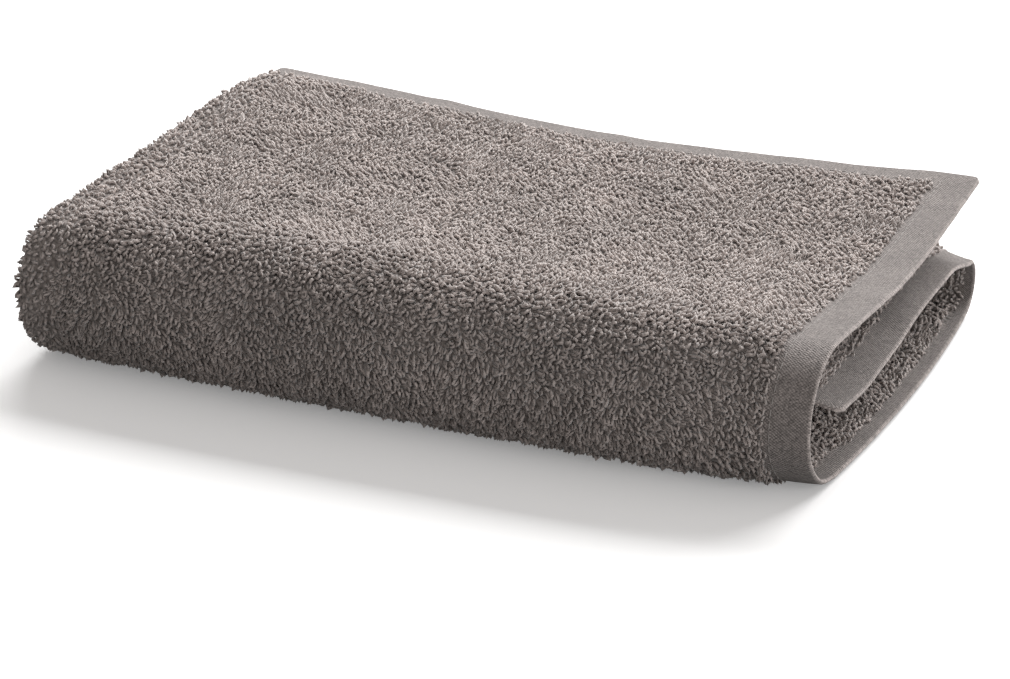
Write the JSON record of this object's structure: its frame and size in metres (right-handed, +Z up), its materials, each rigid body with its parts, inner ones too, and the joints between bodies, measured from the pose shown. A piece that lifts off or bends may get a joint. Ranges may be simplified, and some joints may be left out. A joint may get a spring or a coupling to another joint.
{
  "type": "folded bath towel",
  "caption": "Terry bath towel with flat-woven hems, folded along its length and then across around a rounded front fold.",
  "frame": {"origin": "bottom centre of the folded towel, on the surface that it rests on", "axes": "+X along the folded length towards the hemmed end, -Y towards the rounded front fold, +Z up through the layers"},
  "size_m": [0.366, 0.246, 0.0719],
  "materials": {
    "terry": "looped cotton terry pile, matt",
    "hem": "flat-woven cotton with fine ribs, matt",
    "thread": "cotton sewing thread"
  },
  "bodies": {
    "root": {"folded_towel": "terry"}
  },
  "joints": []
}
